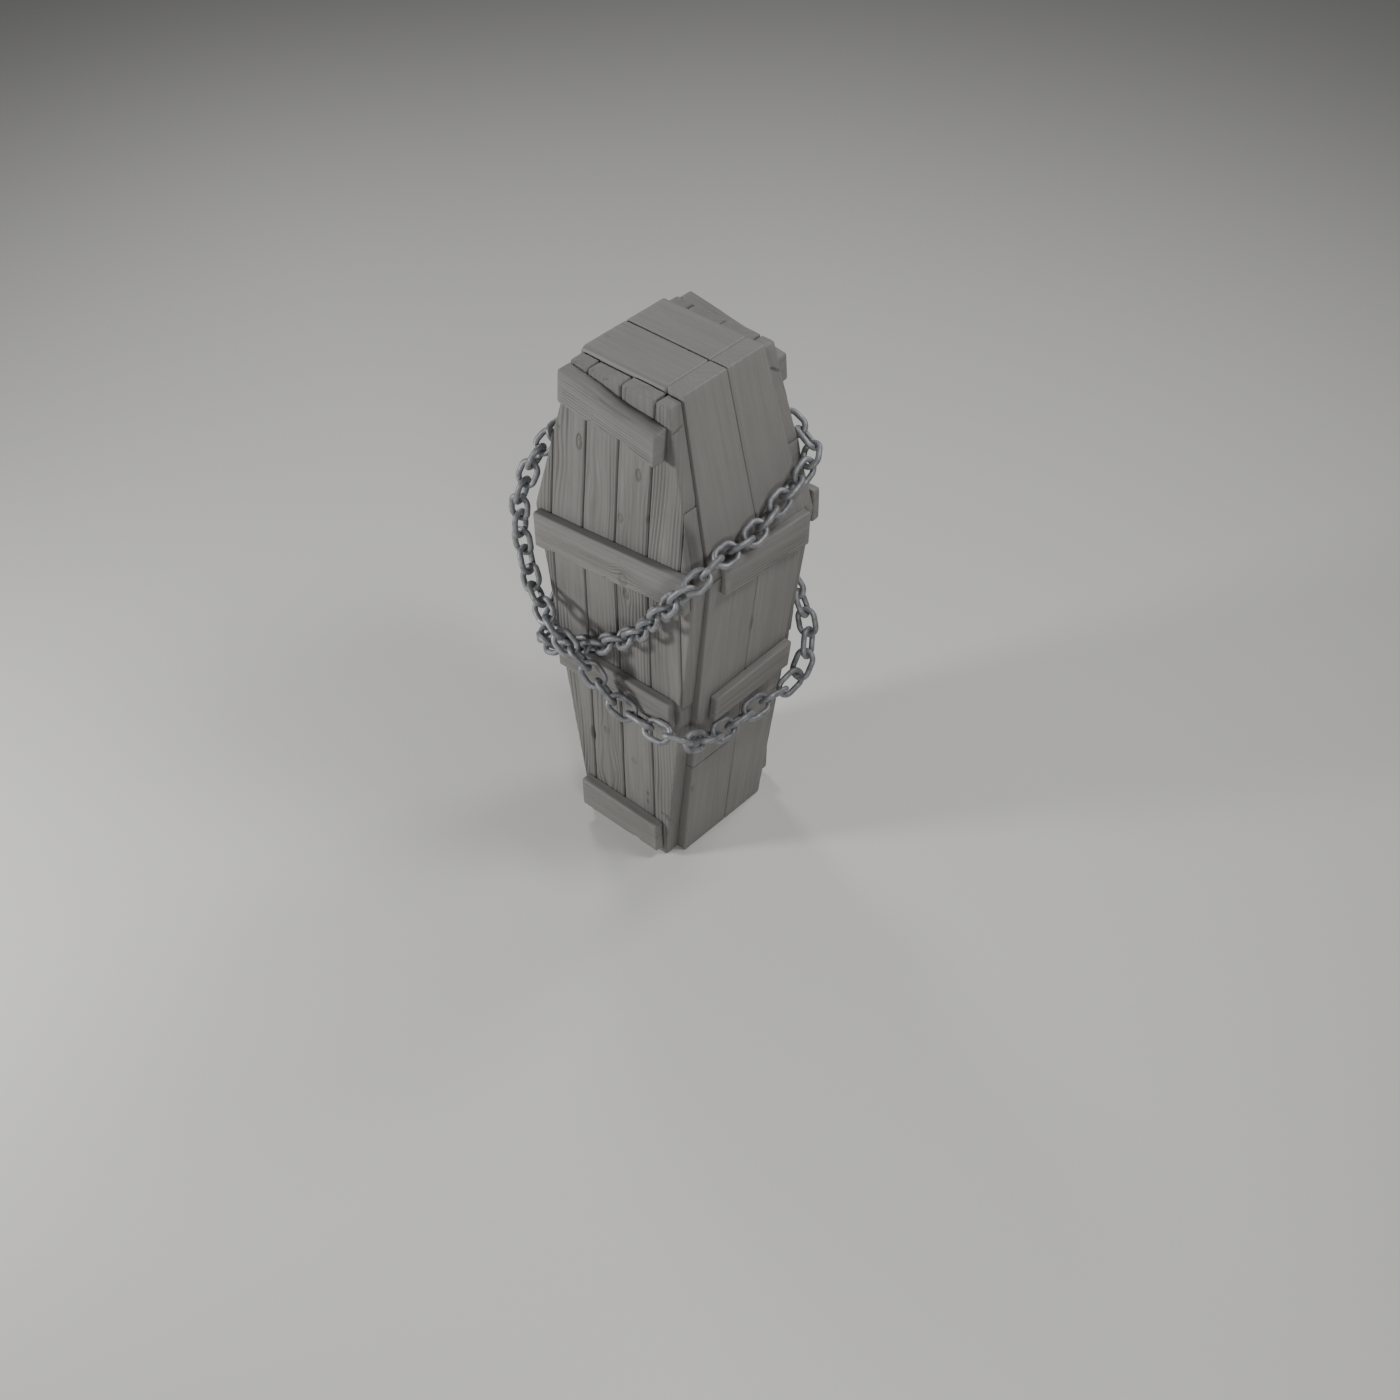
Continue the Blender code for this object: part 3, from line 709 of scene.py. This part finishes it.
def flatAcross(face, low, high, z, b, thickness):
    # A batten's outer side is flat from its lower to its upper edge, over a face that may
    # bend behind it
    bed = face(z) + coffin["touch"]
    outer = face(low) + (face(high) - face(low)) * (z - low) / (high - low)
    outer = outer + coffin["touch"] + thickness
    return outer - (outer - bed) * b / thickness


def battenBoard(key, ends, heights, place, thickness, seed):
    start, end = ends
    topStart, topEnd, bottomStart, bottomEnd = heights

    def bottom(c):
        return bottomStart + (bottomEnd - bottomStart) * (c - start) / (end - start)

    def top(c):
        return topStart + (topEnd - topStart) * (c - start) / (end - start)

    def corners(c, width):
        # The lower and upper front edges, worn unevenly, then the two behind
        lower, upper = (batten["edgeRound"] * (1 + batten["uneven"] * ripple(c * 7, 0.5 + 0 * c, seed + k))
                        for k in (60, 61))
        if key in batten["wornTops"]:
            # More so from left to right
            run = np.clip((c - start) / (end - start) * 1.8, 0, 1)
            uneven = 1 - batten["uneven"] + batten["uneven"] * ripple(c * 11, 0.5 + 0 * c, seed + 63)
            upper = upper + batten["wornTops"][key] * run * uneven
        behind = batten["behindRound"] + 0 * c
        return (lower, lower), (upper, upper), (behind, behind), (behind, behind)

    def endFade(c, a):
        # The lines stop short of the rounded ends
        fromEnd = np.minimum(c - start, end - c) / batten["plainEnd"]
        return np.clip(fromEnd - 0.4, 0, 1)

    knots = battenKnots.get(key, ())
    notches = battenNotches.get(key, ())
    near = [(k[0], k[2]) for k in knots]
    near += [(n[1], n[2]) for n in notches if n[2] < batten["shortBreak"]]
    return {
        "ends": ends,
        "size": lambda c: (top(c) - bottom(c), thickness),
        "place": lambda c, a, b: place(c, bottom(c), top(c), bottom(c) + a, b),
        "corners": corners,
        "across": lambda c, a: a,
        "strength": endFade,
        "endRound": batten["endRound"], "step": batten["ringStep"], "steps": batten["points"],
        "dense": [(at - 2.5 * reach, at + 2.5 * reach, batten["breakStep"]) for at, reach in near],
        "edges": wanderingEdges((batten["wander"], batten["wander"]), seed + 50, notches),
        "seed": seed, "kind": "batten", "knots": knots,
    }


def panelBatten(panelName, facing, name, sizes, seed):
    leftInset, rightInset, thickness, level, heights = sizes
    heights = [level + z for z in heights]
    start = leftInset - panelHalfWidth((heights[0] + heights[2]) / 2)
    end = panelHalfWidth((heights[1] + heights[3]) / 2) - rightInset

    def place(c, low, high, z, b):
        return np.stack([c, facing * flatAcross(panelFace, low, high, z, b, thickness), z], -1)

    key = f"{panelName}_{name}"
    return battenBoard(key, (float(start), float(end)), heights, place, thickness, seed)


def sideBatten(sideName, side, name, sizes, seed):
    frontInset, backInset, level, heights = sizes
    thickness = batten["sideThickness"]
    heights = [level + z for z in heights]
    start = frontInset - halfDepth((heights[0] + heights[2]) / 2)
    end = halfDepth((heights[1] + heights[3]) / 2) - backInset

    def place(c, low, high, z, b):
        return np.stack([side * flatAcross(halfWidth, low, high, z, b, thickness), c, z], -1)

    key = f"{sideName}_{name}"
    return battenBoard(key, (float(start), float(end)), heights, place, thickness, seed)


battenSeeds = count(*batten["seeds"])
for panelName, facing in (("lid", -1), ("back", 1)):
    for name, sizes in panelBattens[panelName].items():
        board = panelBatten(panelName, facing, name, sizes, next(battenSeeds))
        makeBoard(f"{panelName}_{name}_batten", board, "weathered_timber")
for sideName, side in (("right", 1), ("left", -1)):
    for name, sizes in sideBattens.items():
        board = sideBatten(sideName, side, name, sizes, next(battenSeeds))
        makeBoard(f"{sideName}_{name}_batten", board, "weathered_timber")
print("battens made")


# The boards of the box

boxBoards = {
    "round": 0.0058,
    "headRounds": (0.018, 0.006, 0.004, 0.004),  # its long front edge is worn the most
    "endRound": {"side": 0.005, "head": 0.009, "foot": 0.005},
    "wander": 0.0006,
    "ringStep": {"side": 0.022, "head": 0.010, "foot": 0.014},
    "points": {"side": (34, 9, 6, 9), "head": (34, 9, 6, 9), "foot": (24, 8, 6, 8)},
    "seeds": (6060, 60),  # the first, and the step to the next
    "footSeed": 30,  # added for the foot board under a head board
}
halfGap = coffin["boardGap"] / 2
# Cracks, dents and hollows: start, end, reach and depth
boxMarks = (
    ((0.266, -0.214, 0.350), (0.267, -0.213, 0.328), 0.0070, 0.0060),  # nick in the front edge
    ((0.346, 0.012, 1.040), (0.342, 0.012, 0.985), 0.0060, 0.0090),  # the seam has opened here
    ((-0.197, -0.104, 2.000), (-0.189, -0.098, 2.000), 0.0035, 0.0022),
    ((-0.189, -0.098, 2.000), (-0.188, -0.090, 2.000), 0.0030, 0.0018),
    ((-0.226, -0.160, 2.000), (-0.219, -0.154, 2.000), 0.0040, 0.0025),
    ((0.232, -0.040, 1.700), (0.233, -0.036, 1.690), 0.0040, 0.0020),
)


def boxBoard(kind, ends, size, place, across, seed, rounds=(boxBoards["round"],) * 4):
    return {
        "ends": ends, "size": size, "place": place, "across": across,
        "corners": lambda c, width: tuple((r + 0 * c, r + 0 * c) for r in rounds),
        "endRound": boxBoards["endRound"][kind], "step": boxBoards["ringStep"][kind],
        "steps": boxBoards["points"][kind],
        "edges": wanderingEdges((boxBoards["wander"], boxBoards["wander"]), seed + 50),
        "seed": seed, "kind": "board", "marks": boxMarks,
    }


def sideBoard(side, front, ends, seed):
    # Half of a side wall, by the lid or behind
    seam = coffin["sideSeam"]

    def edge(c):
        return -halfDepth(c) if front else seam + halfGap + 0 * c

    def size(c):
        return halfDepth(c) - halfGap + (seam if front else -seam), coffin["sideWall"]

    def place(c, a, b):
        return np.stack([side * (halfWidth(c) - b), edge(c) + a, c], -1)

    return boxBoard("side", ends, size, place, lambda c, a: edge(c) + a, seed)


def headBoard(front, seed):
    # Half of the head, over the left wall and against the right one
    top = coffin["height"]
    seam = coffin["sideSeam"]

    def ends(z):
        return -halfWidth(z), halfWidth(z) - coffin["sideWall"] - coffin["boardGap"]

    def edges(z):
        return (-halfDepth(z), seam - halfGap) if front else (seam + halfGap, halfDepth(z))

    start, end = (float(x) for x in ends(top))
    low, high = edges(top)

    def place(c, a, b):
        z = top - b
        left, right = ends(z)
        near, far = edges(z)
        x = left + (right - left) * (c - start) / (end - start)
        return np.stack([x, near + (far - near) * a / (high - low), z], -1)

    rounds = boxBoards["headRounds"] if front else (boxBoards["round"],) * 4
    return boxBoard("head", (start + coffin["headGap"], end - coffin["headGap"]),
                    lambda c: (high - low, coffin["endWall"]), place, lambda c, a: a, seed, rounds)


def footBoard(front, seed):
    # Half of the foot, between the side walls and as tapered as they are
    seam = coffin["footSeam"]

    def reach(z):
        return halfWidth(z) - coffin["sideWall"] - coffin["boardGap"]

    inner = float(reach(0.0))
    low, high = (-halfDepth(0.0), seam - halfGap) if front else (seam + halfGap, halfDepth(0.0))

    def place(c, a, b):
        return np.stack([-c * reach(b) / inner, low + a, b], -1)

    return boxBoard("foot", (-inner, inner), lambda c: (high - low, coffin["endWall"]), place,
                    lambda c, a: low + a, seed)


# The head board lies over the left wall, so that wall stops short of the top
upperEnd = {1: topZ, -1: topZ - coffin["endWall"] - coffin["boardGap"]}
boxSeeds = count(*boxBoards["seeds"])
for sideName, side in (("right", 1), ("left", -1)):
    spans = {
        "upper_front": (shoulderZ + halfGap, upperEnd[side]),
        "upper_back": (shoulderZ + halfGap, upperEnd[side]),
        "lower_front": (0.0, shoulderZ - halfGap),
        "lower_back": (0.0, shoulderZ - halfGap),
    }
    if side > 0:
        # A short board patches the foot of the right wall
        spans["lower_front"] = (coffin["patchHeight"] + halfGap, shoulderZ - halfGap)
        spans["foot_patch"] = (0.0, coffin["patchHeight"] - halfGap)
    for part, ends in spans.items():
        board = sideBoard(side, "back" not in part, ends, next(boxSeeds))
        makeBoard(f"{sideName}_{part}_board", board, "planed_timber")
for half in ("front", "back"):
    seed = next(boxSeeds)
    makeBoard(f"head_{half}_board", headBoard(half == "front", seed), "planed_timber")
    footSeed = seed + boxBoards["footSeed"]
    makeBoard(f"foot_{half}_board", footBoard(half == "front", footSeed), "planed_timber")
print("box boards made")


# The chains

chain = {
    "wire": 0.021,
    "linkWidth": 0.0842,
    "pitch": 0.072,
    "roll": math.radians(45),  # every other link is turned a further quarter
    "routeSteps": 24,
    "wireSides": 14,
    "bowSteps": 14,
}

# Routes as the part has them: the face, how far across it (1 is its edge), the height, the
# distance off the planks, and the pitch of the links there as a share
upperRoute = (
    ("front", 1.11, 1.413, 0.060, 1.0), ("front", 0.880, 1.322, 0.084, 1.0),
    ("front", 0.690, 1.215, 0.072, 0.95), ("front", 0.500, 1.113, 0.045, 0.90),
    ("front", 0.247, 1.025, 0.042, 0.88), ("front", -0.010, 0.957, 0.042, 0.86),
    ("front", -0.250, 0.908, 0.046, 0.86), ("front", -0.590, 0.862, 0.066, 0.86),
    ("front", -0.950, 0.820, 0.068, 0.90), ("left", -1.230, 0.800, 0.045, 0.95),
    ("left", -0.800, 0.900, 0.045, 1.0), ("left", -0.100, 1.080, 0.050, 1.0),
    ("left", 0.600, 1.232, 0.070, 1.0), ("left", 1.180, 1.372, 0.086, 1.0),
    ("back", -0.840, 1.490, 0.048, 1.0), ("back", -0.480, 1.592, 0.042, 1.0),
    ("back", 0.000, 1.660, 0.040, 1.0), ("back", 0.520, 1.668, 0.040, 1.0),
    ("back", 0.900, 1.622, 0.042, 1.0), ("right", 1.290, 1.585, 0.038, 1.0),
    ("right", 0.800, 1.536, 0.044, 1.0), ("right", 0.200, 1.494, 0.044, 1.0),
    ("right", -0.300, 1.458, 0.044, 1.0), ("right", -0.850, 1.458, 0.042, 1.0),
)
lowerRoute = (
    ("left", -0.880, 1.585, 0.044, 1.0), ("left", -1.010, 1.545, 0.056, 1.0),
    ("left", -1.120, 1.455, 0.064, 1.0), ("left", -1.210, 1.340, 0.066, 1.0),
    ("left", -1.225, 1.231, 0.086, 1.0), ("left", -1.240, 1.134, 0.086, 1.0),
    ("left", -1.300, 1.065, 0.066, 1.0), ("front", -1.080, 1.035, 0.050, 1.0),
    ("front", -0.800, 1.000, 0.098, 1.0), ("front", -0.420, 0.952, 0.134, 1.0),
    ("front", -0.160, 0.878, 0.114, 1.05), ("front", 0.110, 0.766, 0.094, 1.10),
    ("front", 0.380, 0.713, 0.072, 1.20), ("front", 0.850, 0.712, 0.078, 1.15),
    ("front", 1.250, 0.700, 0.040, 1.05), ("right", -0.800, 0.634, 0.052, 1.20),
    ("right", -0.040, 0.611, 0.050, 1.30), ("right", 0.330, 0.616, 0.052, 1.30),
    ("right", 1.000, 0.606, 0.060, 1.25), ("right", 1.280, 0.708, 0.060, 1.15),
    ("back", 1.130, 0.800, 0.044, 1.05), ("back", 0.930, 0.905, 0.044, 1.0),
    ("back", 0.560, 1.000, 0.044, 1.0), ("back", 0.200, 1.110, 0.044, 1.0),
    ("back", -0.100, 1.240, 0.074, 1.0), ("back", -0.420, 1.390, 0.086, 1.0),
    ("back", -0.740, 1.518, 0.128, 1.0), ("back", -1.060, 1.575, 0.088, 1.0),
    ("left", 0.950, 1.595, 0.046, 1.0), ("left", 0.050, 1.605, 0.042, 1.0),
)


def routePlace(face, across, z, off):
    if face == "front":
        return Vector((across * panelHalfWidth(z), -(panelFace(z) + off), z))
    if face == "back":
        return Vector((across * panelHalfWidth(z), panelFace(z) + off, z))
    side = 1 if face == "right" else -1
    return Vector((side * (halfWidth(z) + off), across * halfDepth(z), z))


def linkJoints(route):
    # A smooth closed curve through the route, cut where one link meets the next
    places = [(routePlace(*point[:4]), point[4]) for point in route]
    loop = []
    for index in range(len(places)):
        (a, _), (b, shareB), (c, shareC), (d, _) = (places[(index + k) % len(places)]
                                                    for k in (-1, 0, 1, 2))
        for step in range(chain["routeSteps"]):
            t = step / chain["routeSteps"]
            place = 0.5 * (2 * b + (c - a) * t + (2 * a - 5 * b + 4 * c - d) * t * t
                           + (3 * b - a - 3 * c + d) * t * t * t)
            loop.append((place, shareB + (shareC - shareB) * t))
    travelled = [0.0]
    for index, (place, share) in enumerate(loop):
        following = loop[(index + 1) % len(loop)][0]
        travelled.append(travelled[-1] + (following - place).length / (chain["pitch"] * share))
    links = 2 * round(travelled[-1] / 2)
    joints = []
    index = 0
    for link in range(links):
        goal = travelled[-1] * link / links
        while travelled[index + 1] < goal:
            index += 1
        share = (goal - travelled[index]) / (travelled[index + 1] - travelled[index])
        joints.append(loop[index][0].lerp(loop[(index + 1) % len(loop)][0], share))
    return joints


def linkTurn(start, end, roll):
    # x runs along the link, y across its hole
    middle = (start + end) / 2
    along = (end - start).normalized()
    x, y, z = middle
    outward = Vector((x / halfWidth(z) ** 2, y / halfDepth(z) ** 2, 0))
    across = along.cross(outward).normalized()
    normal = across.cross(along)
    wide = across * math.cos(roll) + normal * math.sin(roll)
    return Matrix((along, wide, along.cross(wide))).transposed(), middle


def addLink(shape, start, end, roll):
    # Round wire bent to an oval, with its bows bearing on the next links' bows
    turn, middle = linkTurn(start, end, roll)
    wire = chain["wire"] / 2
    bend = chain["linkWidth"] / 2 - wire
    reach = (end - start).length / 2 + wire
    tip = min(bend, reach)
    oval = []
    for bow in (1, -1):
        for step in range(chain["bowSteps"] + 1):
            angle = math.pi * (step / chain["bowSteps"] - 0.5)
            way = Vector((bow * math.cos(angle), bow * math.sin(angle), 0))
            centre = Vector((bow * (reach - tip) + way.x * tip, way.y * bend, 0))
            oval.append((centre, way))
    rings = []
    for centre, way in oval:
        ring = []
        for k in range(chain["wireSides"]):
            angle = 2 * math.pi * k / chain["wireSides"]
            offset = way * math.cos(angle) * wire + Vector((0, 0, math.sin(angle) * wire))
            ring.append(shape.verts.new(turn @ (centre + offset) + middle))
        rings.append(ring)
    for index, ring in enumerate(rings):
        following = rings[(index + 1) % len(rings)]
        for k in range(chain["wireSides"]):
            nxt = (k + 1) % chain["wireSides"]
            shape.faces.new((ring[k], following[k], following[nxt], ring[nxt]))


def makeChain(node, route):
    joints = linkJoints(route)
    shape = bmesh.new()
    for index, start in enumerate(joints):
        roll = chain["roll"] + (math.pi / 2 if index % 2 else 0.0)
        addLink(shape, start, joints[(index + 1) % len(joints)], roll)
    bmesh.ops.recalc_face_normals(shape, faces=shape.faces[:])
    mesh = bpy.data.meshes.new(camelName(node))
    shape.to_mesh(mesh)
    shape.free()
    placePiece(node, mesh, "wrought_iron")
    print(camelName(node), "has", len(joints), "links")


makeChain("upper_chain", upperRoute)
makeChain("lower_chain", lowerRoute)


# The floor, the light and the camera

studio = {
    "floorReach": 30.0,
    "floorDrop": 0.001,
    "floorColor": "#d8d7d4",
    "floorRoughness": 0.85,
    "skyColor": "#e6e8ea",
    "skyStrength": 0.10,
    # A ring of low soft lamps: degrees round from the lid to the right, degrees up,
    # distance, size across, power
    "lamps": {
        "frontLeft": (-34, 15, 5.2, 0.9, 166.0),
        "frontRight": (50, 18, 5.4, 1.2, 76.0),
        "right": (112, 56, 4.8, 1.2, 86.0),
        "back": (172, 48, 6.0, 1.4, 76.0),
        "backLeft": (-117, 40, 6.0, 1.4, 80.0),
    },
    "lampTarget": (0, 0, 1.05),
    "cameraPlace": (4.1974, -4.6602, 5.9858),
    "cameraLook": (-0.49474, 0.56490, -0.66040),
    "lens": 58.41,
    "sensor": 36.0,
}


def aimedAt(place, look):
    turn = Vector(look).normalized().to_track_quat("-Z", "Y").to_matrix().to_4x4()
    return Matrix.Translation(place) @ turn


def makeFloor():
    mesh = bpy.data.meshes.new("floor")
    shape = bmesh.new()
    bmesh.ops.create_grid(shape, x_segments=1, y_segments=1, size=studio["floorReach"])
    shape.to_mesh(mesh)
    shape.free()
    material, _, shader = newMaterial("matt pale floor paint")
    shader.inputs["Base Color"].default_value = linearColor(studio["floorColor"])
    shader.inputs["Roughness"].default_value = studio["floorRoughness"]
    mesh.materials.append(material)
    floor = addToScene("floor", mesh)
    floor.location.z = -studio["floorDrop"]
    floor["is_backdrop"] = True


def makeLight():
    target = Vector(studio["lampTarget"])
    for name, (around, up, distance, size, power) in studio["lamps"].items():
        around, up = math.radians(around), math.radians(up)
        level = math.cos(up)
        way = Vector((math.sin(around) * level, -math.cos(around) * level, math.sin(up)))
        light = bpy.data.lights.new(name, "AREA")
        light.shape = "DISK"
        light.size = size
        light.energy = power
        addToScene(name, light).matrix_world = aimedAt(target + way * distance, -way)
    world = bpy.data.worlds.new("pale studio")
    world.use_nodes = True
    sky = world.node_tree.nodes["Background"]
    sky.inputs["Color"].default_value = linearColor(studio["skyColor"])
    sky.inputs["Strength"].default_value = studio["skyStrength"]
    bpy.context.scene.world = world


def makeCamera():
    view = bpy.data.cameras.new("camera")
    view.sensor_width = studio["sensor"]
    view.lens = studio["lens"]
    camera = addToScene("camera", view)
    camera.matrix_world = aimedAt(studio["cameraPlace"], studio["cameraLook"])
    bpy.context.scene.camera = camera


makeFloor()
makeLight()
makeCamera()
print("studio made")

bpy.context.view_layer.update()
sizes = {"cad": cadBox, "visual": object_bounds()}
